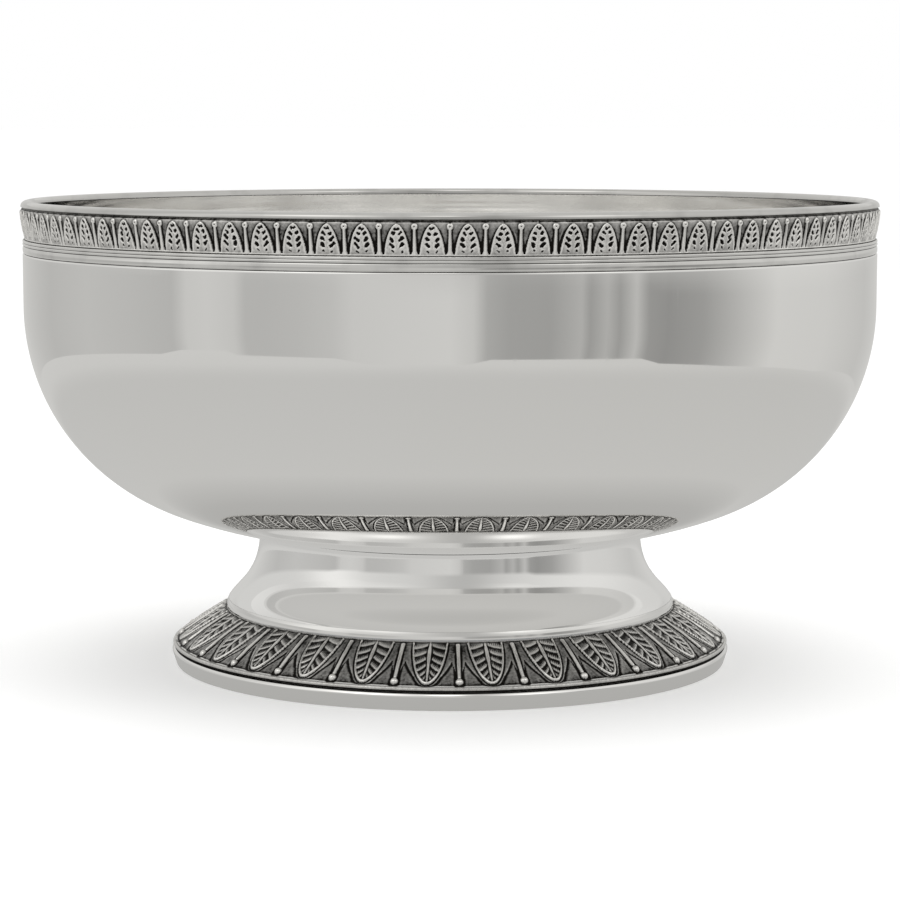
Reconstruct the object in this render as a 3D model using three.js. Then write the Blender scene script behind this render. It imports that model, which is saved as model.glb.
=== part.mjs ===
// Footed punch bowl in silver plate: a deep spun bowl with a leaf frieze around its rim, bolted to a
// waisted foot that stands on a palm-leaf frieze and a plain plinth.
// Units are millimetres, +Z is up, and the origin is the centre of the underside of the foot.

import * as THREE from 'three';

// Driving dimensions
const HEIGHT = 217.8;            // table to the crest of the lip
const RIM_RADIUS = 200;          // widest point, near the top of the rim frieze
const SHEET = 1.5;               // thickness of the spun sheet
const GAP = 0.3;                 // solder line between neighbouring pieces
const SIDES = 60;                // facets around each plain ring

// Bowl
const WALL_RADIUS = 198.9;       // upright wall below the rim mounts
const SHOULDER_Z = 193.4;        // top of the upright wall
const NECK_RADIUS = 195.9;       // drawn-in neck that carries the rim mounts
const BELLY_Z = 168.6;           // height where the wall begins to turn in
const BELLY_RADIUS = 101.3;      // section radius of the belly
const BELLY_TURN = 69.5;         // degrees the belly turns before the flatter underside
const UNDERSIDE_RADIUS = 219;    // section radius of the underside

// Rim mounts, from the top down
const LIP_RADIUS = 196.5;        // crest of the lip
const LIP_WIDTH = 6.2;
const LIP_HEIGHT = 2.7;
const RIM_FRIEZE_TOP = 214.2;
const RIM_FRIEZE_HEIGHT = 14;
const RIM_WIRE_HEIGHT = 2.5;
const RIM_LEAVES = 87;
const RIM_START = -90;           // degrees from +X to the first pin of the rim
const RIM_RELIEF = 1.1;          // height of the rim leaves above their ground

// Foot
const WAIST_RADIUS = 90.2;       // narrowest point, just under the bowl
const WAIST_Z = 61.9;
const FLARE_RADIUS = 105.1;      // lower edge of the waisted foot
const FLARE_Z = 30.1;
const FLANGE_RADIUS = 64;        // hole in the foot's inturned top flange
const FLANGE_Z = 59.2;
const FOOT_FRIEZE_TOP = 26.7;
const FOOT_FRIEZE_RADIUS = 130.4;
const FOOT_FRIEZE_BOTTOM = 11;
const FOOT_DOME = 2.6;           // four times the rise of the frieze's slope above a straight line
const FOOT_LEAVES = 28;
const FOOT_START = -88.15;       // degrees from +X to the first rod of the foot
const FOOT_RELIEF = 1.3;
const PLINTH_RADIUS = 132;
const PLINTH_TAPER = 2.2;        // how much narrower the plinth is at the table
const PLINTH_HEIGHT = 7.9;
const PLINTH_WIDTH = 7;

// Bolted fixing between the bowl and its foot
const BOSS_RADIUS = 20;
const STUD_RADIUS = 4;
const STUD_LENGTH = 16;
const CLAMP_RADIUS = 78;
const CLAMP_THICKNESS = 2.6;
const HOLE_RADIUS = 4.5;
const NUT_ACROSS_FLATS = 13;
const NUT_HEIGHT = 6.5;

// Materials
const POLISHED = { color: 0xc9c8c4, roughness: 0.12, metalness: 1 };
const DIE_STRUCK = { color: 0x9a9893, roughness: 0.38, metalness: 1 };
const STEEL = { color: 0x8f9194, roughness: 0.4, metalness: 1 };

const point = (r, z) => new THREE.Vector2(r, z);
const degrees = THREE.MathUtils.degToRad;

// Points along a circular arc of a section, angles in degrees from the outward direction.
function arc(centre, radius, from, to, steps) {
  const points = [];
  for (let i = 0; i <= steps; i += 1) {
    const angle = degrees(from + ((to - from) * i) / steps);
    points.push(point(centre.x + radius * Math.cos(angle), centre.y + radius * Math.sin(angle)));
  }
  return points;
}

// Turns a section about the vertical axis. A ring's section runs anticlockwise and closes on itself.
function turned(section, isRing, sides = SIDES) {
  const profile = isRing ? [...section, section[0]] : section;
  return new THREE.LatheGeometry(profile, sides).rotateX(Math.PI / 2);
}

function piece(name, geometry, finish) {
  const mesh = new THREE.Mesh(geometry, new THREE.MeshStandardMaterial(finish));
  mesh.name = name;
  return mesh;
}

// Section of the bowl from the axis to the shoulder, set in from the outside by a distance.
function bowlCurve(inset) {
  const belly = point(WALL_RADIUS - BELLY_RADIUS, BELLY_Z);
  const reach = BELLY_RADIUS - UNDERSIDE_RADIUS;
  const under = point(
    belly.x + reach * Math.cos(degrees(BELLY_TURN)),
    belly.y - reach * Math.sin(degrees(BELLY_TURN)),
  );
  const floor = point(0, under.y - UNDERSIDE_RADIUS + inset);
  const underside = arc(under, UNDERSIDE_RADIUS - inset, -90, -BELLY_TURN, 4);
  const side = arc(belly, BELLY_RADIUS - inset, -BELLY_TURN, 0, 9).slice(1);
  return [floor, ...underside, ...side];
}

const BOWL_FLOOR_Z = bowlCurve(0)[0].y;

function bowlShell() {
  const outside = [
    ...bowlCurve(0),
    point(WALL_RADIUS, SHOULDER_Z - 1),
    point(WALL_RADIUS - 0.6, SHOULDER_Z),
    point(NECK_RADIUS, SHOULDER_Z + 0.4),
    point(NECK_RADIUS, HEIGHT - LIP_HEIGHT - GAP),
  ];
  const inside = [
    ...bowlCurve(SHEET),
    point(WALL_RADIUS - SHEET, SHOULDER_Z - 2),
    point(NECK_RADIUS - SHEET, SHOULDER_Z + 1),
    point(NECK_RADIUS - SHEET, HEIGHT - LIP_HEIGHT - GAP),
  ];
  return turned([...outside, ...inside.reverse()], false);
}

// Half-round wire that caps the edge of the bowl.
function lipWire() {
  const crown = [];
  for (let i = 0; i <= 6; i += 1) {
    const angle = (Math.PI * i) / 6;
    const r = LIP_RADIUS + (LIP_WIDTH / 2) * Math.cos(angle);
    crown.push(point(r, HEIGHT - LIP_HEIGHT + LIP_HEIGHT * Math.sin(angle)));
  }
  return turned(crown, true);
}

// Wire with a flat back and a rounded face, wrapped around the neck of the bowl.
function rimWire(top) {
  const back = NECK_RADIUS + GAP;
  const low = top - RIM_WIRE_HEIGHT;
  const face = WALL_RADIUS - 0.6;
  return turned([
    point(back, low),
    point(face, low),
    point(WALL_RADIUS, low + RIM_WIRE_HEIGHT * 0.3),
    point(WALL_RADIUS, low + RIM_WIRE_HEIGHT * 0.7),
    point(face, top),
    point(back, top),
  ], true);
}

// A ring whose face carries a repeated motif. Each row of the section says where its columns stand
// within one repeat, from -0.5 to 0.5, and how far each column is raised along the face's normal.
// The start is the angle of the first repeat's edge, in degrees.
function motifRing(rows, repeats, start) {
  const columns = rows[0].columns.length;
  const around = columns * repeats;
  const positions = [];
  for (const row of rows) {
    for (let i = 0; i < around; i += 1) {
      const column = row.columns[i % columns];
      const turn = (Math.floor(i / columns) + 0.5 + column.at) / repeats;
      const angle = degrees(start) + 2 * Math.PI * turn;
      const r = row.r + row.normal.x * column.raised;
      const z = row.z + row.normal.y * column.raised;
      positions.push(r * Math.cos(angle), r * Math.sin(angle), z);
    }
  }
  const index = [];
  for (let j = 0; j < rows.length; j += 1) {
    for (let i = 0; i < around; i += 1) {
      const a = j * around + i;
      const b = j * around + ((i + 1) % around);
      const c = ((j + 1) % rows.length) * around + i;
      const d = ((j + 1) % rows.length) * around + ((i + 1) % around);
      index.push(a, b, d, a, d, c);
    }
  }
  const geometry = new THREE.BufferGeometry();
  geometry.setAttribute('position', new THREE.Float32BufferAttribute(positions, 3));
  geometry.setIndex(index);
  return geometry;
}

// Columns of a pointed leaf with a thin pin beside it, at a height from 0 (base) to 1 (tip).
function rimLeafColumns(height) {
  const halfWidth = 0.38 * (1 - height ** 2.4) + 0.02;
  const tip = height < 1 ? 1 : 0;
  return [
    { at: -0.5, raised: RIM_RELIEF * 0.8 * tip },
    { at: -halfWidth, raised: 0 },
    { at: 0, raised: RIM_RELIEF * tip },
    { at: halfWidth, raised: 0 },
  ];
}

// Die-struck band of upright leaves and pins, bulging out towards its top.
function rimLeafBand() {
  const bottom = RIM_FRIEZE_TOP - RIM_FRIEZE_HEIGHT;
  const ground = (height) => RIM_RADIUS - RIM_RELIEF - 1.9 * (1 - Math.min(height / 0.8, 1));
  const back = rimLeafColumns(0).map((column) => ({ ...column, raised: 0 }));
  const normal = point(1, 0);
  const face = [0, 0.4, 0.75, 1].map((height) => ({
    r: ground(height),
    z: bottom + RIM_FRIEZE_HEIGHT * height,
    normal,
    columns: rimLeafColumns(height),
  }));
  const hidden = [RIM_FRIEZE_TOP, bottom].map((z) => ({
    r: NECK_RADIUS + GAP, z, normal, columns: back,
  }));
  return motifRing([...face, ...hidden], RIM_LEAVES, RIM_START);
}

function spoolCurve() {
  const curve = new THREE.CubicBezierCurve(
    point(WAIST_RADIUS, WAIST_Z),
    point(WAIST_RADIUS, WAIST_Z - 20.2),
    point(FLARE_RADIUS - 4.1, FLARE_Z + 6.5),
    point(FLARE_RADIUS, FLARE_Z),
  );
  return curve.getPoints(8);
}

// Waisted foot, turned in at the top as a flange that the fixing clamps against the bowl.
function footSpool() {
  const outside = spoolCurve().reverse();
  const inside = spoolCurve()
    .map((p) => point(p.x - SHEET, p.y - SHEET * 0.4))
    .filter((p) => p.y < FLANGE_Z - SHEET - 1);
  const flange = [
    point(WAIST_RADIUS - SHEET, WAIST_Z),
    point(WAIST_RADIUS - SHEET, FLANGE_Z),
    point(FLANGE_RADIUS, FLANGE_Z),
    point(FLANGE_RADIUS, FLANGE_Z - SHEET),
    point(WAIST_RADIUS - SHEET, FLANGE_Z - SHEET),
  ];
  return turned([...outside, ...flange, ...inside], true);
}

// Rounded band between the flare of the foot and its frieze.
function footCollarWire() {
  const top = FLARE_Z - SHEET * 0.4 - GAP;
  const low = FOOT_FRIEZE_TOP + GAP;
  return turned([
    point(FLARE_RADIUS - 3, low),
    point(FLARE_RADIUS + 0.4, low),
    point(FLARE_RADIUS + 0.9, (low + top) / 2),
    point(FLARE_RADIUS + 0.2, top),
    point(FLARE_RADIUS - 3, top),
  ], true);
}

// Columns of a round-ended palm leaf with a rod beside it, from 0 (inner end) to 1 (outer edge).
function footLeafColumns(distance) {
  const open = Math.sqrt(Math.max(0, 1 - (distance / 0.97) ** 6));
  const halfWidth = 0.02 + (0.29 + 0.04 * distance) * open;
  const leaf = distance < 0.97 ? FOOT_RELIEF : 0;
  const rod = distance < 0.9 ? FOOT_RELIEF * 0.8 : 0;
  return [
    { at: -0.5, raised: rod },
    { at: -0.42, raised: 0 },
    { at: -halfWidth, raised: 0 },
    { at: 0, raised: leaf },
    { at: halfWidth, raised: 0 },
    { at: 0.42, raised: 0 },
  ];
}

// Sloping die-struck ring of palm leaves and rods, slightly domed from its top to its outer edge.
function footLeafRing() {
  const top = point(FLARE_RADIUS + 0.9, FOOT_FRIEZE_TOP);
  const edge = point(FOOT_FRIEZE_RADIUS, FOOT_FRIEZE_BOTTOM);
  const slope = edge.clone().sub(top);
  const normal = point(-slope.y, slope.x).normalize();
  const at = (distance, lift) => top.clone().addScaledVector(slope, distance)
    .addScaledVector(normal, lift);
  const flat = footLeafColumns(0).map((column) => ({ ...column, raised: 0 }));
  const face = [1, 0.9, 0.7, 0.45, 0.2, 0].map((distance) => {
    const p = at(distance, FOOT_DOME * distance * (1 - distance) - FOOT_RELIEF);
    return { r: p.x, z: p.y, normal, columns: footLeafColumns(distance) };
  });
  const back = [0, 0.9].map((distance) => {
    const p = at(distance, -FOOT_RELIEF - SHEET);
    return { r: p.x, z: p.y, normal, columns: flat };
  });
  return motifRing([...face, ...back], FOOT_LEAVES, FOOT_START);
}

// Wire that closes the joint between the foot frieze and the plinth: a bead on a sunken foot.
function footEdgeWire() {
  const low = PLINTH_HEIGHT + GAP;
  const edge = FOOT_FRIEZE_RADIUS;
  return turned([
    point(edge - 3.4, low),
    point(edge - 0.2, low),
    point(edge, low + 0.7),
    point(edge + 0.8, low + 0.9),
    point(edge + 1.1, low + 1.5),
    point(edge + 0.8, low + 2.1),
    point(edge + 0.1, low + 2.3),
    point(edge - 0.3, low + 2),
    point(edge - 0.4, low + 1.3),
    point(edge - 3.4, low + 1.3),
  ], true);
}

function plinthBand() {
  return turned([
    point(PLINTH_RADIUS - PLINTH_WIDTH, 0),
    point(PLINTH_RADIUS - PLINTH_TAPER, 0),
    point(PLINTH_RADIUS - PLINTH_TAPER + 0.4, 0.8),
    point(PLINTH_RADIUS, PLINTH_HEIGHT - 1.4),
    point(PLINTH_RADIUS - 0.8, PLINTH_HEIGHT),
    point(PLINTH_RADIUS - PLINTH_WIDTH, PLINTH_HEIGHT),
  ], true);
}

// Flat disc or washer between two heights.
function disc(radius, holeRadius, low, high, sides) {
  if (holeRadius === 0) {
    return turned([point(0, low), point(radius, low), point(radius, high), point(0, high)], false, sides);
  }
  return turned([
    point(holeRadius, low), point(radius, low), point(radius, high), point(holeRadius, high),
  ], true, sides);
}

// Heights of the fixing, stacked down from the underside of the bowl.
const BOSS_TOP = BOWL_FLOOR_Z - GAP;
const BOSS_LOW = FLANGE_Z - SHEET;
const CLAMP_TOP = BOSS_LOW - GAP;
const CLAMP_LOW = CLAMP_TOP - CLAMP_THICKNESS;
const WASHER_TOP = CLAMP_LOW - GAP;
const WASHER_LOW = WASHER_TOP - 1.6;
const LOCK_WASHER_TOP = WASHER_LOW - GAP;
const LOCK_WASHER_LOW = LOCK_WASHER_TOP - 1.4;
const NUT_TOP = LOCK_WASHER_LOW - GAP;

function hexNut() {
  const corner = NUT_ACROSS_FLATS / Math.sqrt(3);
  const outline = new THREE.Shape();
  for (let i = 0; i < 6; i += 1) {
    const angle = (Math.PI * i) / 3;
    const draw = i === 0 ? 'moveTo' : 'lineTo';
    outline[draw](corner * Math.cos(angle), corner * Math.sin(angle));
  }
  outline.closePath();
  outline.holes.push(new THREE.Path().absarc(0, 0, HOLE_RADIUS, 0, 2 * Math.PI, true));
  const body = new THREE.ExtrudeGeometry(outline, {
    depth: NUT_HEIGHT, bevelEnabled: false, curveSegments: 9,
  });
  return body.translate(0, 0, NUT_TOP - NUT_HEIGHT);
}

const UPPER_WIRE_TOP = RIM_FRIEZE_TOP - RIM_FRIEZE_HEIGHT - GAP;
const LOWER_WIRE_TOP = UPPER_WIRE_TOP - RIM_WIRE_HEIGHT - GAP;

const punchBowl = new THREE.Group();
punchBowl.add(
  piece('bowl_shell', bowlShell(), POLISHED),
  piece('rim_lip_wire', lipWire(), POLISHED),
  piece('rim_leaf_band', rimLeafBand(), DIE_STRUCK),
  piece('rim_upper_wire', rimWire(UPPER_WIRE_TOP), POLISHED),
  piece('rim_lower_wire', rimWire(LOWER_WIRE_TOP), POLISHED),
  piece('foot_spool', footSpool(), POLISHED),
  piece('foot_collar_wire', footCollarWire(), POLISHED),
  piece('foot_leaf_ring', footLeafRing(), DIE_STRUCK),
  piece('foot_edge_wire', footEdgeWire(), POLISHED),
  piece('foot_plinth_band', plinthBand(), POLISHED),
  piece('bowl_boss', disc(BOSS_RADIUS, 0, BOSS_LOW, BOSS_TOP, 30), POLISHED),
  piece('fixing_stud', disc(STUD_RADIUS, 0, CLAMP_TOP - STUD_LENGTH, CLAMP_TOP, 18), STEEL),
  piece('clamp_plate', disc(CLAMP_RADIUS, HOLE_RADIUS, CLAMP_LOW, CLAMP_TOP, 36), STEEL),
  piece('clamp_washer', disc(11, HOLE_RADIUS, WASHER_LOW, WASHER_TOP, 18), STEEL),
  piece('lock_washer', disc(7.5, HOLE_RADIUS, LOCK_WASHER_LOW, LOCK_WASHER_TOP, 18), STEEL),
  piece('clamp_nut', hexNut(), STEEL),
);

export default punchBowl;
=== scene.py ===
"""Looks of the footed punch bowl: turned silver, struck leaf friezes, a bolted foot and a plain studio.

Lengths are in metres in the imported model's frame: +Z up, the foot standing on z = 0, the front at -Y.
Sections are drawn as rows of (radius, height). A frieze's relief is worked out in millimetres.
"""

import math

import bpy
import numpy as np
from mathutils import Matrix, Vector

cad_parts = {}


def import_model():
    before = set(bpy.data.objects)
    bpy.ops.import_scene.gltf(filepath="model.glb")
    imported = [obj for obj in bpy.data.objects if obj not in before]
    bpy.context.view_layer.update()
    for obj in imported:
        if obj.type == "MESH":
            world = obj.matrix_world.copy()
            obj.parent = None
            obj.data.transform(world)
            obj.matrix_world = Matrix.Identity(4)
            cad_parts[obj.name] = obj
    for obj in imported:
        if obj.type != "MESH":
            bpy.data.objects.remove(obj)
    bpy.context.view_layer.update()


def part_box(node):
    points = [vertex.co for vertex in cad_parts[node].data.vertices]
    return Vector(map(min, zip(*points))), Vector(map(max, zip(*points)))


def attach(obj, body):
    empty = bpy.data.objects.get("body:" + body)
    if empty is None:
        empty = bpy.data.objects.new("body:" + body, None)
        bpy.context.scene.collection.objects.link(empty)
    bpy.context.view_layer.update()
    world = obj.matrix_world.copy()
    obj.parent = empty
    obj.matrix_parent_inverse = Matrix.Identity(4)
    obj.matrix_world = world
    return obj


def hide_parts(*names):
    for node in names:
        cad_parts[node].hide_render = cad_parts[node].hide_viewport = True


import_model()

MM = 0.001


def low(node):
    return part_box(node)[0].z


def top(node):
    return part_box(node)[1].z


def reach(node):
    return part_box(node)[1].x


# Driving dimensions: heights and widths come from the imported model, section radii are repeated from it.
SHEET = 1.5 * MM
SIDES = 384
LIP_TOP = top("rim_lip_wire")
LIP_LOW = low("rim_lip_wire")
WALL_RADIUS = reach("bowl_shell")
NECK_TOP = top("bowl_shell")
NECK_STEP = 3.0 * MM
NECK_RADIUS = WALL_RADIUS - NECK_STEP
LOWER_WIRE_LOW = low("rim_lower_wire")
SHOULDER_Z = LOWER_WIRE_LOW - 0.9 * MM
SHOULDER_ROUND = 0.8 * MM
BELLY_Z = 168.6 * MM
BELLY_RADIUS = 101.3 * MM
BELLY_TURN = 69.5
UNDERSIDE_RADIUS = 219 * MM

RIM_BAND_LOW = low("rim_leaf_band")
RIM_BAND_TOP = top("rim_leaf_band")
RIM_RADIUS = 200 * MM
RIM_LEAN = 1.9 * MM
RIM_LEAVES = 87
RIM_STRIPS = 3
RIM_START = -90.0
RIM_RELIEF = 1.1
LIP_RADIUS = 196.5 * MM
LIP_WIDTH = 6.2 * MM

WAIST_RADIUS = 90.2 * MM
WAIST_Z = top("foot_spool")
FLARE_RADIUS = reach("foot_spool")
FLARE_Z = 30.1 * MM
FLANGE_RADIUS = 64 * MM
FLANGE_Z = 59.2 * MM
FOOT_BAND_TOP = 26.7 * MM
FOOT_BAND_RADIUS = 130.4 * MM
FOOT_BAND_LOW = 11 * MM
FOOT_DOME = 2.6 * MM
FOOT_LEAVES = 28
FOOT_STRIPS = 2
FOOT_START = -88.15
FOOT_RELIEF = 1.3
PLINTH_RADIUS = reach("foot_plinth_band")
PLINTH_TOP = top("foot_plinth_band")
PLINTH_WIDTH = 7 * MM
PLINTH_TAPER = 2.2 * MM


# ---------------------------------------------------------------- sections

def arc(centre, radius, start, end, steps):
    """Points on an arc of a section, its angles in degrees from the outward direction."""
    angle = np.radians(np.linspace(start, end, steps + 1))
    return [(centre[0] + radius * math.cos(a), centre[1] + radius * math.sin(a)) for a in angle]


def bezier(a, b, c, d, steps):
    """Points on a cubic curve."""
    t = np.linspace(0, 1, steps + 1)[:, None]
    a, b, c, d = (np.array(p) for p in (a, b, c, d))
    curve = (1 - t) ** 3 * a + 3 * t * (1 - t) ** 2 * b + 3 * t * t * (1 - t) * c + t ** 3 * d
    return [tuple(p) for p in curve]


def softened(corners, radius, steps=4):
    """A closed outline with each corner rounded off over a distance along both its edges."""
    corners = [np.array(c, float) for c in corners]
    points = []
    for i, corner in enumerate(corners):
        before, after = corners[i - 1] - corner, corners[(i + 1) % len(corners)] - corner
        start = corner + before * min(radius / np.linalg.norm(before), 0.45)
        end = corner + after * min(radius / np.linalg.norm(after), 0.45)
        for t in np.linspace(0, 1, steps + 1):
            points.append(tuple((1 - t) ** 2 * start + 2 * t * (1 - t) * corner + t * t * end))
    return points


def bowl_curve(inset):
    """The bowl's section from its axis to the top of the belly, set in from the outside."""
    belly = np.array((WALL_RADIUS - BELLY_RADIUS, BELLY_Z))
    turn = math.radians(BELLY_TURN)
    under = belly + (BELLY_RADIUS - UNDERSIDE_RADIUS) * np.array((math.cos(turn), -math.sin(turn)))
    floor_z = under[1] - UNDERSIDE_RADIUS + inset
    flat = [(r * under[0], floor_z) for r in (0, 0.06, 0.2, 0.4, 0.6, 0.8)]
    underside = arc(under, UNDERSIDE_RADIUS - inset, -90, -BELLY_TURN, 14)
    side = arc(belly, BELLY_RADIUS - inset, -BELLY_TURN, 0, 44)
    return flat + underside + side[1:]


def spool_curve():
    """The waisted outside of the foot, from its top down to the edge of its flare."""
    return bezier(
        (WAIST_RADIUS, WAIST_Z),
        (WAIST_RADIUS, WAIST_Z - 20.2 * MM),
        (FLARE_RADIUS - 4.1 * MM, FLARE_Z + 6.5 * MM),
        (FLARE_RADIUS, FLARE_Z),
        40,
    )


# ---------------------------------------------------------------- meshes

def mesh_from(name, points, quads, corners=()):
    """A mesh object from an array of points, an array of quads and any faces with other corner counts."""
    mesh = bpy.data.meshes.new(name)
    others = [list(c) for c in corners]
    loops = np.concatenate([quads.ravel(), *(np.array(c) for c in others)]).astype(np.int32)
    sizes = np.array([4] * len(quads) + [len(c) for c in others])
    mesh.vertices.add(len(points))
    mesh.vertices.foreach_set("co", np.asarray(points, np.float32).ravel())
    mesh.loops.add(len(loops))
    mesh.loops.foreach_set("vertex_index", loops)
    mesh.polygons.add(len(sizes))
    mesh.polygons.foreach_set("loop_start", np.concatenate(([0], np.cumsum(sizes)[:-1])).astype(np.int32))
    mesh.update(calc_edges=True)
    mesh.shade_smooth()
    piece = bpy.data.objects.new(name, mesh)
    bpy.context.scene.collection.objects.link(piece)
    return piece


def set_attribute(piece, name, values):
    """Stores one number for each vertex, for the material to read."""
    attribute = piece.data.attributes.new(name, "FLOAT", "POINT")
    attribute.data.foreach_set("value", np.asarray(values, np.float32).ravel())


def set_map(piece, across, along, around=0.0):
    """A map in metres that the fine surface marks follow: across for each vertex, then along.
    Around is the length of the closed way across, where the map joins its start to its end."""
    index = np.zeros(len(piece.data.loops), np.int32)
    piece.data.loops.foreach_get("vertex_index", index)
    starts = np.zeros(len(piece.data.polygons), np.int32)
    piece.data.polygons.foreach_get("loop_start", starts)
    u, v = np.asarray(across)[index], np.asarray(along)[index]
    if around:
        face = np.searchsorted(starts, np.arange(len(index)), "right") - 1
        largest = np.maximum.reduceat(u, starts)[face]
        u = np.where(largest - u > around / 2, u + around, u)
    layer = piece.data.uv_layers.new(name="marks")
    layer.data.foreach_set("uv", np.column_stack((u, v)).astype(np.float32).ravel())


def sheet_quads(rows, columns, close_rows, close_columns):
    """Corner numbers of the quads of a grid whose points are numbered along its rows, facing outward."""
    row = np.arange(rows if close_rows else rows - 1)[:, None]
    column = np.arange(columns if close_columns else columns - 1)[None, :]
    next_row, next_column = (row + 1) % rows, (column + 1) % columns
    a, b = row * columns + column, row * columns + next_column
    c, d = next_row * columns + next_column, next_row * columns + column
    return np.stack([a, b, c, d], axis=-1).reshape(-1, 4)


def turned(name, section, closed=True, sides=SIDES, radius_at=None, sharp=40):
    """A section turned about the upright axis. An open one starts and ends on the axis.
    radius_at, where given, changes the radius with the angle and the height."""
    section = np.array(section, float)
    angle = 2 * math.pi * np.arange(sides) / sides
    rim = section if closed else section[1:-1]
    radius = np.repeat(rim[:, :1], sides, axis=1)
    height = np.repeat(rim[:, 1:], sides, axis=1)
    if radius_at:
        radius = radius_at(radius, angle[None, :], height)
    points = np.stack([radius * np.cos(angle), radius * np.sin(angle), height], axis=-1).reshape(-1, 3)
    quads = sheet_quads(len(rim), sides, closed, True)
    fans = []
    if not closed:
        first, last = len(points), len(points) + 1
        points = np.vstack([points, [(0, 0, section[0][1]), (0, 0, section[-1][1])]])
        step = np.arange(sides)
        after = (step + 1) % sides
        base = (len(rim) - 1) * sides
        fans = [(first, b, a) for a, b in zip(step, after)]
        fans += [(last, base + a, base + b) for a, b in zip(step, after)]
    piece = mesh_from(name, points, quads, fans)
    length = np.concatenate(([0], np.cumsum(np.hypot(*np.diff(rim, axis=0).T))))
    across = np.tile(angle * rim[:, 0].max(), len(rim))
    along = np.repeat(length, sides)
    if not closed:
        across = np.append(across, (0, 0))
        along = np.append(along, (length[0], length[-1]))
    set_map(piece, across, along, 2 * math.pi * rim[:, 0].max())
    piece.data.set_sharp_from_angle(angle=math.radians(sharp))
    return piece


def strip(name, points, patina, across, along):
    """A closed bar whose section changes along it: points[section row, step along the bar]."""
    rows, columns = points.shape[:2]
    quads = sheet_quads(rows, columns, True, False)
    start = [r * columns for r in range(rows)]
    end = [r * columns + columns - 1 for r in range(rows)][::-1]
    piece = mesh_from(name, points.reshape(-1, 3), quads, [start, end])
    set_attribute(piece, "patina", patina)
    set_map(piece, across.ravel(), along.ravel())
    return piece


# ---------------------------------------------------------------- relief of the friezes

def step_down(value, start, end):
    """1 below start, 0 above end and smooth between them."""
    t = np.clip((value - start) / (end - start), 0, 1)
    return 1 - t * t * (3 - 2 * t)


def bump(value, width):
    """A soft hill: 1 where the value is 0, and gone at about twice the width."""
    return np.exp(-(value / width) ** 2)


def outside_of(across, along, half_width, length, power_across, power_along):
    """Distance in millimetres outside the outline of a leaf, negative inside it."""
    u, v = np.maximum(across, 1e-3) / half_width, np.maximum(along, 1e-3) / length
    value = u ** power_across + v ** power_along - 1
    slope = np.hypot(
        power_across * u ** (power_across - 1) / half_width,
        power_along * v ** (power_along - 1) / length,
    )
    return value / np.maximum(slope, 0.04)


RIM_PITCH = 2 * math.pi * RIM_RADIUS / MM / RIM_LEAVES
RIM_LEAF = {"half_width": 5.2, "length": 13.1, "power_across": 1.75, "power_along": 1.75}
# Hollows beside a rim leaf's midrib: distance from it, height, length, width and depth.
RIM_HOLLOWS = (
    (1.9, 1.9, 1.4, 0.8, 0.5), (2.1, 4.4, 2.9, 1.5, 1.0),
    (1.9, 6.9, 2.6, 1.5, 1.0), (1.35, 9.2, 2.1, 1.35, 1.0),
)
RIM_APEX_HOLLOW = (0.5, 11.2, 1.7, 1.1, 1.0)
HOLLOW_SLANT = math.radians(44)


def hollow(x, y, middle, size, slant):
    """An oval pit, 1 at its bottom and 0 outside it."""
    dx, dy = x - middle[0], y - middle[1]
    along = dx * math.cos(slant) + dy * math.sin(slant)
    across = dy * math.cos(slant) - dx * math.sin(slant)
    distance = (np.abs(along / size[0] * 2) ** 2.6 + np.abs(across / size[1] * 2) ** 2.6) ** (1 / 2.6)
    return step_down(distance, 0.72, 1.08)


def rim_leaf_face(x, y, edge, rng):
    """Depth of the leaf's own face: a raised outline around hand-cut hollows that point to the midrib."""
    outline = bump(edge + 0.42, 0.42) * (1 - step_down(y, 1.5, 4.0))
    wavy_x = x + 0.14 * np.sin(2.3 * y + rng.uniform(0, 6)) + 0.07 * np.sin(5.3 * y + rng.uniform(0, 6))
    wavy_y = y + 0.14 * np.sin(2.7 * x + rng.uniform(0, 6)) + 0.07 * np.sin(5.9 * x + rng.uniform(0, 6))
    pits = np.zeros_like(x)
    for out, height, length, width, depth in (*RIM_HOLLOWS, RIM_APEX_HOLLOW):
        for side in (-1, 1):
            middle = (side * out + rng.normal(0, 0.12), height + rng.normal(0, 0.16))
            size = (length * rng.uniform(0.85, 1.12), width * rng.uniform(0.85, 1.15))
            slant = side * HOLLOW_SLANT + rng.normal(0, 0.14)
            pits = np.maximum(pits, depth * hollow(wavy_x, wavy_y, middle, size, slant))
    scars = 0.1 * bump(np.sin(3.1 * wavy_x + 1.7 * wavy_y), 0.25) * (y > 3)
    return -0.24 * (1 - outline) - scars - 0.88 * pits * step_down(edge, -0.8, -0.45)


def rim_pin(x, y):
    """Depth of the round-headed pin between two leaves, over the distance from its axis."""
    half_width = 0.74 + 0.24 * step_down(y, 2.0, 10.0) + 0.8 * step_down(y, 0.3, 2.3)
    ridge = np.sqrt(np.clip(1 - (x / half_width) ** 2, 0, 1))
    stem = np.where(y < 11.3, -RIM_RELIEF * (1 - 0.95 * ridge), -RIM_RELIEF)
    away = np.hypot(x, y - 12.0)
    knob = -RIM_RELIEF * (1 - 1.2 * np.sqrt(np.clip(1 - (away / 1.5) ** 2, 0, 1)))
    return np.maximum(stem, knob - 0.8 * bump(away, 0.4))


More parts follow.
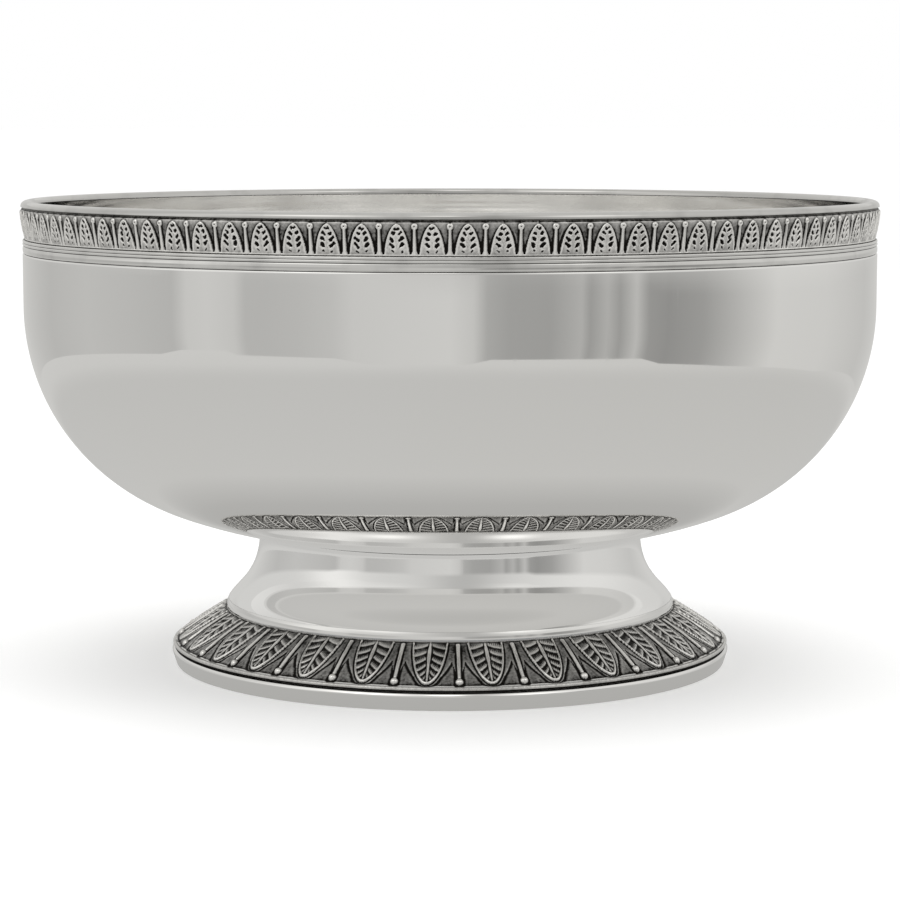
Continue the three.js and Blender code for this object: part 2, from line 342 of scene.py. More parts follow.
def rim_relief(x, y, rng):
    """Depth of the rim frieze at x from a leaf's midrib and y above the frieze's lower edge."""
    edge = outside_of(np.abs(x), y, **RIM_LEAF)
    leaf = rim_leaf_face(x, y, edge, rng) - 1.5 * (1 - step_down(edge, -0.12, 0.14))
    faint = rng.uniform(0.78, 0.98)
    contour = -faint - 0.4 * (1 - bump(edge - 1.15, 0.32)) - 0.4 * step_down(y, 3.0, 7.0)
    lean = rng.uniform(-0.12, 0.12) * np.sign(x)
    ground = -RIM_RELIEF + (0.2 + lean) * (1 - step_down(y, 3.0, 8.0)) + 0.25 * (1 - step_down(y, 9.0, 12.5))
    base = -0.12 - 1.4 * (1 - step_down(y, 0.6, 1.0))
    pin = rim_pin(RIM_PITCH / 2 - np.abs(x), y)
    height = np.maximum.reduce([leaf, contour, ground, base, pin])
    under_lip = 0.3 * (1 - step_down(y, 13.5, 13.8))
    return np.maximum(height - under_lip, -RIM_RELIEF - 0.2)


FOOT_LEAF = {"half_width": 7.85, "length": 27.4, "power_across": 2.0, "power_along": 2.05}
# Where each valley between two lobes of a palm leaf leaves the midrib, from the inner end.
FOOT_VALLEYS = (-10.0, -6.0, -2.0, 1.9, 5.8, 9.7, 13.5, 17.0, 20.2, 23.0)
ROD_END = 23.1
PEARL = (25.8, 1.85)


def palm_lobes(x, s):
    """Lobes of half a palm leaf, each rising slowly to a crest and falling sharply to a valley."""
    lines = [s - start - (1.4 + 0.13 * max(start, -5)) * np.sqrt(x) for start in FOOT_VALLEYS]
    lobe = np.full_like(s, 0.4)
    for before, after in zip(lines, lines[1:]):
        inside = (before >= 0) & (after < 0)
        t = before / np.maximum(before - after, 1e-6)
        rise = np.clip(t / 0.74, 0, 1) ** 0.9 * step_down(t, 0.84, 1.0) - 0.45 * bump(t, 0.13)
        lobe = np.where(inside, rise, lobe)
    return lobe


def palm_face(x, s, edge):
    """Depth of a palm leaf's face, x measured outward from its midrib."""
    comb = 0.13 * np.sin(2 * math.pi * (x + 0.25 * s) / 0.9)
    face = -1.12 + 0.68 * palm_lobes(x, s) + comb
    tip = 1 - step_down(s, 20.0, 25.0)
    outline = bump(edge + 0.42 + 0.3 * tip, 0.4 + 0.3 * tip)
    spindle = np.interp(s, (0.5, 3, 7, 11, 16, 22, 27), (0.15, 0.5, 0.95, 0.85, 0.55, 0.4, 0.35))
    rib = np.sqrt(np.clip(1 - (x / spindle) ** 2, 0, 1))
    beside = 0.35 * bump(x - spindle - 0.2, 0.25)
    return np.maximum.reduce([face - beside, -1.05 + 1.05 * outline, -0.98 + 0.93 * rib])


def rod_width(s):
    """Half the width of a rod, which tapers outward."""
    return 1.12 - 0.32 * np.clip(s / ROD_END, 0, 1)


def foot_rod(x, s):
    """Depth of the rod and pearl between two palm leaves, over the distance from the rod's axis."""
    ridge = np.sqrt(np.clip(1 - (x / rod_width(s)) ** 2, 0, 1)) * np.clip((s - 1.2) / 1.2, 0, 1) ** 0.5
    rod = np.where(s < ROD_END + 1, -FOOT_RELIEF + (FOOT_RELIEF - 0.05) * ridge, -FOOT_RELIEF)
    away = np.hypot(x, s - PEARL[0])
    pearl = -FOOT_RELIEF + 1.8 * np.sqrt(np.clip(1 - (away / PEARL[1]) ** 2, 0, 1))
    return np.maximum(rod, pearl)


def foot_relief(x, s, half_pitch):
    """Depth of the foot frieze at x from a leaf's midrib and s down its slope."""
    x = np.abs(x)
    edge = outside_of(x, s, **FOOT_LEAF)
    from_rod = half_pitch - x
    leaf = palm_face(x, s, edge) - 2 * (1 - step_down(edge, -0.1, 0.18))
    band = 2.9 - 2.4 * np.clip(s / 23, 0, 1) ** 2
    contour = -0.82 - 1.0 * (1 - step_down(edge, 0.5 + band, 0.8 + band)) - 0.7 * bump(edge - 0.35, 0.26)
    collar = rod_width(s) + 0.5
    sleeve_edge = collar + 2.4 * (1 - np.clip(s / 20, 0, 1) ** 2)
    sleeve = -0.82 - 1.0 * (1 - step_down(from_rod, sleeve_edge, sleeve_edge + 0.3))
    sleeve = np.where(s < ROD_END, sleeve - 0.6 * bump(from_rod - collar + 0.15, 0.26), -2)
    open_ground = 1 - step_down(np.minimum(edge - band, from_rod - rod_width(s)), 0.7, 2.2)
    ground = -FOOT_RELIEF + 0.5 * open_ground + 0.5 * (1 - step_down(s, 27.9, 28.8))
    dashes = -0.75 + 0.35 * np.sin(2 * math.pi * x / 0.9) - 2 * (1 - step_down(s, 0.5, 0.9))
    height = np.maximum.reduce([leaf, np.minimum(contour, -0.8), sleeve, ground, foot_rod(from_rod, s)])
    height = np.where(s < 1.1, np.minimum(height, -1.1), height)
    return np.maximum(height, dashes)


def blurred(field, cells):
    """The field averaged over a square of cells, joining its last column to its first."""
    for _ in range(2):
        padded = np.pad(field, ((cells, cells), (0, 0)), mode="edge")
        field = sum(padded[i:i + field.shape[0]] for i in range(2 * cells + 1)) / (2 * cells + 1)
        field = sum(np.roll(field, i, axis=1) for i in range(-cells, cells + 1)) / (2 * cells + 1)
    return field


# Oxide at half and three quarters of the relief's depth and on its open ground.
RIM_OXIDE = (0.5, 0.54, 0.54)
FOOT_OXIDE = (0.6, 0.68, 0.72)
BACK_OXIDE = 0.3


def patina_of(height, relief, oxide):
    """How dark the oxide lies: heavy in crevices, thinner on open ground and rubbed off high points."""
    deep = np.interp(-height / relief, (-0.2, 0.04, 0.17, 0.5, 0.75, 1.0), (0.0, 0.08, 0.36, *oxide))
    crevice = (blurred(height, 2) - height) / relief
    hollowed = (blurred(height, 5) - height) / relief
    return np.clip(deep + 1.5 * crevice + 0.55 * hollowed, 0, 1)


def frieze(name, height, patina, place, start, strips, back):
    """Cuts a frieze's ring into strips. place turns (row share, depth) into radii and heights, and
    back holds the points that close the section behind the relief."""
    rows, columns = height.shape
    section = np.linspace(0, 1, rows)
    pieces = []
    for k in range(strips):
        first, last = columns * k // strips, columns * (k + 1) // strips
        step = np.arange(first, last + 1)
        face = height[:, step % columns] * MM
        radius, z = np.broadcast_arrays(*place(section[:, None], face))
        radius = np.vstack([radius, *(np.full(len(step), r) for r, _ in back)])
        z = np.vstack([z, *(np.full(len(step), h) for _, h in back)])
        angle = math.radians(start) + 2 * math.pi * step / columns
        points = np.stack([radius * np.cos(angle), radius * np.sin(angle), z], axis=-1)
        dark = np.vstack([patina[:, step % columns], np.full((len(back), len(step)), BACK_OXIDE)])
        across = np.broadcast_to(angle * RIM_RADIUS, radius.shape)
        along = np.broadcast_to(np.linspace(0, 0.02, len(radius))[:, None], radius.shape)
        pieces.append(strip(f"{name}_strip_{k + 1}", points, dark, across, along))
    return pieces


def tiled(repeats, one_tile):
    """The relief of a whole ring: one_tile gives each repeat, from its pin or rod to the next one."""
    return np.hstack([one_tile(k) for k in range(repeats)])


def rim_frieze():
    """Three strips of pointed leaves and round-headed pins around the rim."""
    rows, columns = 52, 60
    rng = np.random.default_rng(11)
    height_mm = (RIM_BAND_TOP - RIM_BAND_LOW) / MM
    x = ((np.arange(columns) / columns) - 0.5)[None, :] * RIM_PITCH
    y = np.linspace(0, height_mm, rows + 1)[:, None]
    x, y = np.broadcast_to(x, (rows + 1, columns)), np.broadcast_to(y, (rows + 1, columns))
    height = tiled(RIM_LEAVES, lambda k: rim_relief(x, y, rng))
    patina = patina_of(height, RIM_RELIEF, RIM_OXIDE)

    def place(share, depth):
        lean = RIM_LEAN * (1 - np.minimum(share / 0.85, 1)) ** 1.3
        return RIM_RADIUS - lean + depth, RIM_BAND_LOW + share * (RIM_BAND_TOP - RIM_BAND_LOW)

    wall, under_lip = NECK_RADIUS + 0.3 * MM, LIP_LOW - 0.03 * MM
    back = [(RIM_RADIUS - 1.7 * MM, under_lip), (wall, under_lip), (wall, RIM_BAND_LOW)]
    return frieze("rim_leaf_band", height, patina, place, RIM_START, RIM_STRIPS, back)


def foot_frieze():
    """Two strips of palm leaves, rods and pearls on the sloping ring of the foot."""
    rows, columns = 72, 84
    inner = np.array((FLARE_RADIUS + 0.9 * MM, FOOT_BAND_TOP))
    slope = np.array((FOOT_BAND_RADIUS, FOOT_BAND_LOW)) - inner
    length = np.linalg.norm(slope)
    normal = np.array((-slope[1], slope[0])) / length
    s = np.linspace(1, 0, rows + 1)[:, None]
    half_pitch = math.pi * (inner[0] + slope[0] * s) / MM / FOOT_LEAVES
    x = ((np.arange(columns) / columns) * 2 - 1)[None, :] * half_pitch
    s_mm = np.broadcast_to(s * length / MM, x.shape)
    one = foot_relief(x, s_mm, half_pitch)
    rng = np.random.default_rng(5)
    wobble = [0.24 * rng.normal() * blurred(rng.normal(size=one.shape), 3) for _ in range(FOOT_LEAVES)]
    height = tiled(FOOT_LEAVES, lambda k: one + wobble[k])
    patina = patina_of(height, FOOT_RELIEF, FOOT_OXIDE)

    def place(share, depth):
        far = 1 - share
        lift = FOOT_DOME * far * (1 - far) + depth
        return inner[0] + slope[0] * far + normal[0] * lift, inner[1] + slope[1] * far + normal[1] * lift

    under = -(FOOT_RELIEF * MM + SHEET)
    back = [tuple(inner + normal * under), tuple(inner + slope * 0.9 + normal * under)]
    return frieze("foot_leaf_ring", height, patina, place, FOOT_START, FOOT_STRIPS, back)


# ---------------------------------------------------------------- materials

class Nodes:
    """A short way to write a material's nodes."""

    def __init__(self, name):
        self.material = bpy.data.materials.new(name)
        self.material.use_nodes = True
        self.tree = self.material.node_tree
        self.shader = self.tree.nodes["Principled BSDF"]

    def add(self, kind, inputs=None, **settings):
        node = self.tree.nodes.new(kind)
        for key, value in settings.items():
            setattr(node, key, value)
        for key, value in (inputs or {}).items():
            self.feed(node, key, value)
        return node

    def feed(self, node, key, value):
        if isinstance(value, bpy.types.NodeSocket):
            self.tree.links.new(value, node.inputs[key])
        else:
            node.inputs[key].default_value = value

    def place(self):
        return self.add("ShaderNodeTexCoord").outputs["Object"]

    def marks(self):
        return self.add("ShaderNodeUVMap", uv_map="marks").outputs["UV"]

    def noise(self, vector, scale, detail=2.0, roughness=0.5, distortion=0.0):
        inputs = {"Vector": vector, "Scale": scale, "Detail": detail,
                  "Roughness": roughness, "Distortion": distortion}
        return self.add("ShaderNodeTexNoise", inputs).outputs["Fac"]

    def stretched(self, vector, scale, turn=0.0):
        """The vector scaled by a different number along each axis, after a turn in degrees."""
        inputs = {"Vector": vector, "Scale": scale, "Rotation": (0, 0, math.radians(turn))}
        return self.add("ShaderNodeMapping", inputs).outputs["Vector"]

    def remap(self, value, low_in, high_in, low_out=0.0, high_out=1.0):
        inputs = {"Value": value, "From Min": low_in, "From Max": high_in,
                  "To Min": low_out, "To Max": high_out}
        return self.add("ShaderNodeMapRange", inputs).outputs["Result"]

    def math(self, operation, a, b=0.0, clamp=False):
        return self.add("ShaderNodeMath", {0: a, 1: b}, operation=operation, use_clamp=clamp).outputs[0]

    def mix(self, factor, a, b):
        node = self.add("ShaderNodeMix", data_type="RGBA")
        for key, value in ((0, factor), (6, a), (7, b)):
            self.feed(node, key, value)
        return node.outputs[2]

    def bump(self, height, distance, strength=1.0, below=None):
        inputs = {"Height": height, "Distance": distance, "Strength": strength}
        if below is not None:
            inputs["Normal"] = below
        return self.add("ShaderNodeBump", inputs).outputs["Normal"]

    def surface(self, **inputs):
        for key, value in inputs.items():
            self.feed(self.shader, key.replace("_", " "), value)


def colour(r, g, b):
    return (r, g, b, 1.0)


# How the silver reflects, first clean and then faintly tarnished: the bowl; darker copies for the lip and
# the rim wires, painted shade that dims their reflections; and a brighter copy for the foot, painted light.
# Then the struck friezes and the oxide in their recesses.
SILVER = colour(0.952, 0.949, 0.943)
SILVER_WARM = colour(0.93, 0.922, 0.905)
# Painted shade: a darker copy of the silver for the lip, which dims its reflection.
SHADED_LIP_SILVER = colour(0.66, 0.656, 0.645)
SHADED_LIP_WARM = colour(0.6, 0.592, 0.575)
# Painted shade: a darker copy of the silver for the rim wires, which dims their reflections.
SHADED_WIRE_SILVER = colour(0.81, 0.806, 0.795)
SHADED_WIRE_WARM = colour(0.75, 0.74, 0.72)
# Painted light: a brighter copy of the silver for the foot, which brightens its reflection.
BRIGHTENED_SILVER = colour(0.99, 0.989, 0.989)
BRIGHTENED_WARM = colour(0.98, 0.975, 0.965)
STRUCK_SILVER = colour(0.98, 0.97, 0.95)
OXIDE = colour(0.014, 0.0125, 0.011)


def scratches(n, marks):
    """Hairline marks of wiping: long thin streaks that lie three ways, from 0 to 1."""
    total = None
    for turn, fine in ((8, 900), (-31, 1300), (64, 1100)):
        streak = n.noise(n.stretched(marks, (fine, 18, 1), turn), 1.0, 1.0)
        streak = n.remap(streak, 0.66, 0.78)
        total = streak if total is None else n.math("MAXIMUM", total, streak)
    return total


def polished_silver(name, clean, tarnished, lined=False):
    """Mirror-polished plate: almost clean, with hairlines, faint haze and a little warm tarnish.
    A lined one has oxide in the grooves that a cloth doesn't reach, as its vertices say."""
    n = Nodes(name)
    place, marks = n.place(), n.marks()
    haze = n.noise(place, 14.0, 4.0, 0.6)
    cloud = n.noise(place, 3.2, 3.0)
    hairlines = scratches(n, marks)
    tarnish = n.remap(cloud, 0.45, 0.8, 0.0, 0.7)
    roughness = n.remap(haze, 0.3, 0.75, 0.022, 0.062)
    roughness = n.math("ADD", roughness, n.math("MULTIPLY", hairlines, 0.05))
    spun = n.noise(n.stretched(marks, (2.0, 260.0, 1.0)), 1.0, 2.0)
    wave = n.bump(n.noise(place, 5.0, 1.0), 0.00016)
    fine = n.bump(n.math("ADD", spun, n.math("MULTIPLY", hairlines, 0.4)), 0.0000025, below=wave)
    silver = n.mix(tarnish, clean, tarnished)
    if lined:
        groove = n.add("ShaderNodeAttribute", attribute_name="patina").outputs["Fac"]
        groove = n.math("ADD", groove, n.remap(n.noise(place, 70.0, 3.0), 0.3, 0.8, -0.15, 0.2), clamp=True)
        silver = n.mix(groove, silver, OXIDE)
        roughness = n.math("ADD", roughness, n.math("MULTIPLY", groove, 0.3))
    n.surface(Base_Color=silver, Metallic=1.0, Roughness=roughness, Normal=fine)
    return n.material


def patinated_silver():
    """Struck plate with black-brown oxide in the recesses and rubbed high points."""
    n = Nodes("patinated_silver")
    place = n.place()
    amount = n.add("ShaderNodeAttribute", attribute_name="patina").outputs["Fac"]
    grain = n.noise(place, 900.0, 3.0, 0.6)
    patch = n.noise(place, 60.0, 3.0)
    darkened = n.math("ADD", amount, n.remap(grain, 0.2, 0.8, -0.16, 0.16))
    darkened = n.math("ADD", darkened, n.remap(patch, 0.2, 0.8, -0.1, 0.1))
    dark = n.remap(darkened, 0.12, 0.78)
    roughness = n.remap(darkened, 0.1, 0.8, 0.2, 0.5)
    hammer = n.noise(place, 420.0, 2.0)
    normal = n.bump(n.math("ADD", hammer, n.math("MULTIPLY", grain, 0.5)), 0.00006)
    n.surface(Base_Color=n.mix(dark, STRUCK_SILVER, OXIDE), Metallic=1.0, Roughness=roughness, Normal=normal)
    return n.material


def zinc_steel():
    """Plain zinc-plated fixings: dull, faintly mottled, with turning marks."""
    n = Nodes("zinc_steel")
    place, marks = n.place(), n.marks()
    spangle = n.add("ShaderNodeTexVoronoi", {"Vector": place, "Scale": 420.0}).outputs["Distance"]
    rings = n.noise(n.stretched(marks, (8.0, 2600.0, 1.0)), 1.0, 2.0)
    tone = n.mix(n.remap(spangle, 0.0, 0.9), colour(0.56, 0.57, 0.58), colour(0.42, 0.43, 0.45))
    roughness = n.remap(rings, 0.3, 0.7, 0.26, 0.44)
    n.surface(Base_Color=tone, Metallic=1.0, Roughness=roughness, Normal=n.bump(rings, 0.00002))
    return n.material


# ---------------------------------------------------------------- pieces of the bowl and its rim

def bowl_shell():
    """The spun bowl: a round belly, an upright wall and a neck drawn in under the rim mounts."""
    outside = bowl_curve(0)
    outside += [(WALL_RADIUS, z) for z in np.linspace(BELLY_Z, SHOULDER_Z - 1 * MM, 7)[1:]]
    outside += arc((WALL_RADIUS - SHOULDER_ROUND, SHOULDER_Z - SHOULDER_ROUND), SHOULDER_ROUND, 0, 90, 6)
    outside += [(NECK_RADIUS + 0.3 * MM, SHOULDER_Z + 0.1 * MM), (NECK_RADIUS, SHOULDER_Z + 0.4 * MM)]
    outside += [(NECK_RADIUS, NECK_TOP)]
    inside = bowl_curve(SHEET)
    inner_wall, inner_neck = WALL_RADIUS - SHEET, NECK_RADIUS - SHEET
    inside += [(inner_wall, z) for z in np.linspace(BELLY_Z, SHOULDER_Z - 2.5 * MM, 7)[1:]]
    inside += bezier(
        (inner_wall, SHOULDER_Z - 2.5 * MM), (inner_wall, SHOULDER_Z),
        (inner_neck, SHOULDER_Z - 1.5 * MM), (inner_neck, SHOULDER_Z + 1.5 * MM), 12,
    )[1:]
    inside += [(inner_neck, z) for z in np.linspace(SHOULDER_Z + 1.5 * MM, NECK_TOP, 5)[1:]]
    return turned("bowl_shell_fine", outside + inside[::-1], closed=False)


def darken(piece, darkness):
    """Stores how dark each vertex is, from its radius and height."""
    places = np.zeros(len(piece.data.vertices) * 3)
    piece.data.vertices.foreach_get("co", places)
    x, y, z = places.reshape(-1, 3).T
    set_attribute(piece, "patina", darkness(np.hypot(x, y), z))
    return piece


def lip_wire():
    """Rounded bead that caps the edge, flush with the wall inside and proud of it outside."""
    height, outward = LIP_TOP - LIP_LOW, LIP_WIDTH / 2
    inward = LIP_RADIUS - (NECK_RADIUS - SHEET)
    crown = [(LIP_RADIUS + math.cos(a) * (outward if a < math.pi / 2 else inward),
              LIP_LOW + height * math.sin(a) ** 0.85) for a in np.linspace(0, math.pi, 37)]
    piece = turned("rim_lip_wire_fine", crown)
    return darken(piece, lambda r, z: 0.3 * step_down(z - LIP_LOW, 0, 0.6 * MM) * (r > LIP_RADIUS))


def rim_wire(node, reeds, below, darkness):
    """A reeded wire: flat at its back, with one or more half-round reeds and dark grooves on its face."""
    bottom, upper = low(node) - below, top(node) + 0.12 * MM
    half, deep = (upper - bottom) / 2 / reeds, 0.75 * MM
    back, flat = NECK_RADIUS + 0.3 * MM, reach(node) - deep
    face = []
    for k in range(reeds):
        middle = bottom + half * (2 * k + 1)
        face += [(flat + deep * math.cos(a) ** 0.7, middle + half * math.sin(a))
                 for a in np.linspace(-math.pi / 2 + 0.02, math.pi / 2 - 0.02, 17)]
    piece = turned(node + "_fine", [(back, bottom), *face, (back, upper)])
    return darken(piece, lambda r, z: darkness * step_down(r - flat, 0.2 * deep, 0.75 * deep))


# ---------------------------------------------------------------- pieces of the foot

def foot_spool():
    """Waisted foot, its top edge drawn close against the bowl."""
    outside = spool_curve()[::-1]
    outside += [(WAIST_RADIUS + 0.05 * MM, WAIST_Z + 0.4 * MM)]
    inside = [(r - SHEET, z - SHEET * 0.4) for r, z in spool_curve() if z < FLANGE_Z - SHEET - 1 * MM]
    wall = WAIST_RADIUS - SHEET
    flange = [(wall, WAIST_Z + 0.25 * MM), *arc((wall - 1 * MM, FLANGE_Z + 1 * MM), 1 * MM, 0, -90, 4),
              (FLANGE_RADIUS, FLANGE_Z), (FLANGE_RADIUS, FLANGE_Z - SHEET), (wall, FLANGE_Z - SHEET)]
    return turned("foot_spool_fine", outside + flange + inside)


def collar_wire():
    """Smooth band that carries the flare on to the foot frieze with hardly a line."""
    lower = np.array((FLARE_RADIUS + 0.85 * MM, FOOT_BAND_TOP + 0.1 * MM))
    upper = np.array((FLARE_RADIUS + 0.05 * MM, FLARE_Z - 0.06 * MM))
    share = np.linspace(0, 1, 13)[:, None]
    swell = 0.22 * MM * np.sin(math.pi * share) * (1, 0)
    bulge = [tuple(point) for point in lower + (upper - lower) * share + swell]
    inner = FLARE_RADIUS - 3 * MM
    under_flare = [(FLARE_RADIUS - SHEET, FLARE_Z - SHEET * 0.45), (inner, FLARE_Z - SHEET * 0.6)]
    return turned("foot_collar_wire_fine", [(inner, lower[1]), *bulge, *under_flare])


def edge_wire():
    """Bead on a sunken foot, between the outer edge of the frieze and the plinth."""
    bottom, upper = low("foot_edge_wire"), top("foot_edge_wire")
    radius = 0.8 * MM
    centre = (reach("foot_edge_wire") - radius, upper - radius)
    bead = arc(centre, radius, -80, 170, 26)
    inner, sunken = FOOT_BAND_RADIUS - 3.4 * MM, FOOT_BAND_RADIUS - 0.2 * MM
    foot = [(inner, bottom), (sunken, bottom), (sunken + 0.1 * MM, bottom + 0.6 * MM)]
    shoulder = [(FOOT_BAND_RADIUS - 0.5 * MM, bottom + 1.3 * MM), (inner, bottom + 1.3 * MM)]
    piece = turned("foot_edge_wire_fine", foot + bead + shoulder)
    return darken(piece, lambda r, z: 0.32 + 0.68 * step_down(z - bottom, 0.75 * MM, 1.15 * MM))


def plinth_band():
    """The plain band that the bowl stands on, a little narrower at the table."""
    inner = PLINTH_RADIUS - PLINTH_WIDTH
    face = [
        (inner, 0), (PLINTH_RADIUS - PLINTH_TAPER, 0), (PLINTH_RADIUS - PLINTH_TAPER + 0.4 * MM, 0.8 * MM),
        (PLINTH_RADIUS, PLINTH_TOP - 1.4 * MM), (PLINTH_RADIUS - 1.0 * MM, PLINTH_TOP), (inner, PLINTH_TOP),
    ]
    return turned("foot_plinth_band_fine", softened(face, 0.6 * MM, 5))


# ---------------------------------------------------------------- pieces of the bolted fixing

def washer(node, hole):
    """A flat round piece with eased edges, solid where it has no hole."""
    bottom, upper, radius = low(node), top(node), reach(node)
    ease = 0.25 * MM
    rim = [(radius - ease, bottom), (radius, bottom + ease), (radius, upper - ease), (radius - ease, upper)]
    if hole == 0:
        steps = [radius * share for share in (0.3, 0.6, 0.85)]
        under, over = [(r, bottom) for r in steps], [(r, upper) for r in steps[::-1]]
        disc = [(0, bottom), *under, *rim, *over, (0, upper)]
        return turned(node + "_fine", disc, closed=False, sides=96, sharp=30)
    return turned(node + "_fine", [(hole, bottom), *rim, (hole, upper)], sides=128, sharp=30)


def spring_washer(hole):
    """A split ring, its two ends sprung apart by part of its thickness."""
    bottom, upper, radius = low("lock_washer"), top("lock_washer"), reach("lock_washer")
    thick = (upper - bottom) * 0.82
    angle = np.radians(np.linspace(5, 355, 141))
    rise = (upper - bottom - thick) * np.linspace(0, 1, len(angle))
    corners = [(hole, 0), (radius, 0), (radius, thick), (hole, thick)]
    rows = [(r, np.full(len(angle), bottom + z) + rise) for r, z in softened(corners, 0.15 * MM, 2)]
    points = np.stack([np.stack([r * np.cos(angle), r * np.sin(angle), z], axis=-1) for r, z in rows])
    flat = np.zeros(points.shape[:2])
    piece = strip("lock_washer_fine", points, flat, flat + angle * radius, flat + 0.001)
    piece.data.set_sharp_from_angle(angle=math.radians(35))
    return piece


def hexagon_nut(hole):
    """A hexagon nut whose corners are cut back by a cone at both faces."""
    bottom, upper = low("clamp_nut"), top("clamp_nut")
    half_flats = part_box("clamp_nut")[1].y
    corner = half_flats / math.cos(math.pi / 6)
    chamfer = 0.9 * MM
    heights = [bottom, bottom + 0.3 * MM, bottom + 0.6 * MM, bottom + chamfer,
               upper - chamfer, upper - 0.6 * MM, upper - 0.3 * MM, upper]

    def hexagon(radius, angle, height):
        flats = half_flats / np.cos((angle % (math.pi / 3)) - math.pi / 6)
        edge = np.minimum(height - bottom, upper - height)
        face_radius = half_flats * 0.985
        cone = face_radius + np.minimum(edge / chamfer, 1) * (corner - face_radius)
        return np.where(radius > hole * 1.2, np.minimum(flats, cone), radius)

    section = [(hole, bottom), *((corner, z) for z in heights), (hole, upper)]
    return turned("clamp_nut_fine", section, sides=144, radius_at=hexagon, sharp=20)


def threaded_stud():
    """The M8 stud: a coarse thread up to the washer, and a chamfered end."""
    bottom, upper, radius = low("fixing_stud"), top("fixing_stud"), reach("fixing_stud")
    pitch, depth, chamfer = 1.25 * MM, 0.65 * MM, 0.8 * MM

    def thread(r, angle, height):
        turn = (height / pitch + angle / (2 * math.pi)) % 1
        cut = depth * np.clip(1.6 * np.abs(2 * turn - 1) - 0.3, 0, 1)
        end = np.clip((height - bottom) / chamfer, 0, 1)
        return np.where(r > radius * 0.5, np.minimum(radius - cut, radius * (0.8 + 0.2 * end)), r)

    heights = np.linspace(bottom, upper, 112)
    section = [(0, bottom), (radius * 0.4, bottom), *((radius, z) for z in heights),
               (radius * 0.4, upper), (0, upper)]
    return turned("fixing_stud_fine", section, closed=False, sides=60, radius_at=thread, sharp=50)


# ---------------------------------------------------------------- the object

HOLE_RADIUS = 4.5 * MM


def finished(pieces, nodes, material):
    """Gives pieces their material and their place in the table, and hides the CAD nodes that they stand for.
    """
    for piece in pieces:
        piece.data.materials.append(material)
        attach(piece, "root")
        for node in nodes:
            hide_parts(node)


def build_bowl():
    """All the pieces, each with its material and its place in the table."""
    polished = polished_silver("polished_silver", SILVER, SILVER_WARM)
    # Painted light: the foot's silver is a brighter copy that brightens its reflection.
    brightened = polished_silver("brightened_silver", BRIGHTENED_SILVER, BRIGHTENED_WARM)
    # Painted shade: the lip's and the rim wires' silvers are darker copies that dim their reflections.
    darkened = polished_silver("shaded_lip_silver", SHADED_LIP_SILVER, SHADED_LIP_WARM, lined=True)
    lined = polished_silver("lined_silver", SHADED_WIRE_SILVER, SHADED_WIRE_WARM, lined=True)
    struck, steel = patinated_silver(), zinc_steel()
    for node, piece, material in (
        ("bowl_shell", bowl_shell(), polished),
        ("rim_lip_wire", lip_wire(), darkened),
        ("rim_upper_wire", rim_wire("rim_upper_wire", 2, 0.12 * MM, 1.0), lined),
        ("rim_lower_wire", rim_wire("rim_lower_wire", 1, 0.8 * MM, 0.7), lined),
        ("foot_spool", foot_spool(), brightened),
        ("foot_collar_wire", collar_wire(), polished),
        ("foot_plinth_band", plinth_band(), polished),
        ("bowl_boss", washer("bowl_boss", 0), polished),
    ):
        finished([piece], [node], material)
    finished(rim_frieze(), ["rim_leaf_band"], struck)
    finished(foot_frieze(), ["foot_leaf_ring"], struck)
    finished([edge_wire()], ["foot_edge_wire"], struck)
    for node, piece in (
        ("fixing_stud", threaded_stud()),
        ("clamp_plate", washer("clamp_plate", HOLE_RADIUS)),
        ("clamp_washer", washer("clamp_washer", HOLE_RADIUS)),
        ("lock_washer", spring_washer(HOLE_RADIUS)),
        ("clamp_nut", hexagon_nut(HOLE_RADIUS)),
    ):
        finished([piece], [node], steel)


# ---------------------------------------------------------------- studio

FLOOR_RADIUS = 60.0
FLOOR_GLOW = 0.11


def disc_mesh(name, rings, steps, height):
    """A flat round sheet that faces up, with points on a few rings."""
    angle = 2 * math.pi * np.arange(steps) / steps
    flat = np.full(steps, height)
    points = [np.stack([r * np.cos(angle), r * np.sin(angle), flat], axis=-1) for r in rings]
    points = np.vstack([*points, [(0, 0, height)]])
    middle = len(points) - 1
    fans = [(middle, a, (a + 1) % steps) for a in range(steps)]
    return mesh_from(name, points, sheet_quads(len(rings), steps, False, True)[:, ::-1], fans)


def floor():
    """A wide, plain, nearly white floor, with a little light of its own so that it fades into the room."""
    piece = disc_mesh("studio_floor", (0.4, 1.2, 3.0, 10.0, FLOOR_RADIUS), 96, -0.0001)
    n = Nodes("pale_floor")
    speckle = n.noise(n.place(), 6.0, 3.0)
    tint = n.mix(n.remap(speckle, 0.3, 0.7), colour(0.9, 0.9, 0.9), colour(0.89, 0.89, 0.885))
    n.surface(Base_Color=tint, Roughness=1.0, Emission_Color=colour(1, 1, 1), Emission_Strength=FLOOR_GLOW)
    piece.data.materials.append(n.material)
    piece.visible_glossy = False


# Brightness of the whole room that the silver sees, and its tint.
ROOM_BRIGHTNESS = 0.93
ROOM_TINT = colour(1.0, 0.993, 0.964)


def glowing(piece, tones):
    """Makes a piece of the studio shine by a tone at each vertex, seen only in the silver."""
    set_attribute(piece, "tone", tones * ROOM_BRIGHTNESS)
    n = Nodes(piece.name)
    level = n.add("ShaderNodeAttribute", attribute_name="tone").outputs["Fac"]
    glow = n.add("ShaderNodeEmission", {"Color": ROOM_TINT, "Strength": level})
    n.tree.links.new(glow.outputs[0], n.tree.nodes["Material Output"].inputs["Surface"])
    piece.data.materials.append(n.material)
    piece.visible_camera = piece.visible_diffuse = piece.visible_shadow = False


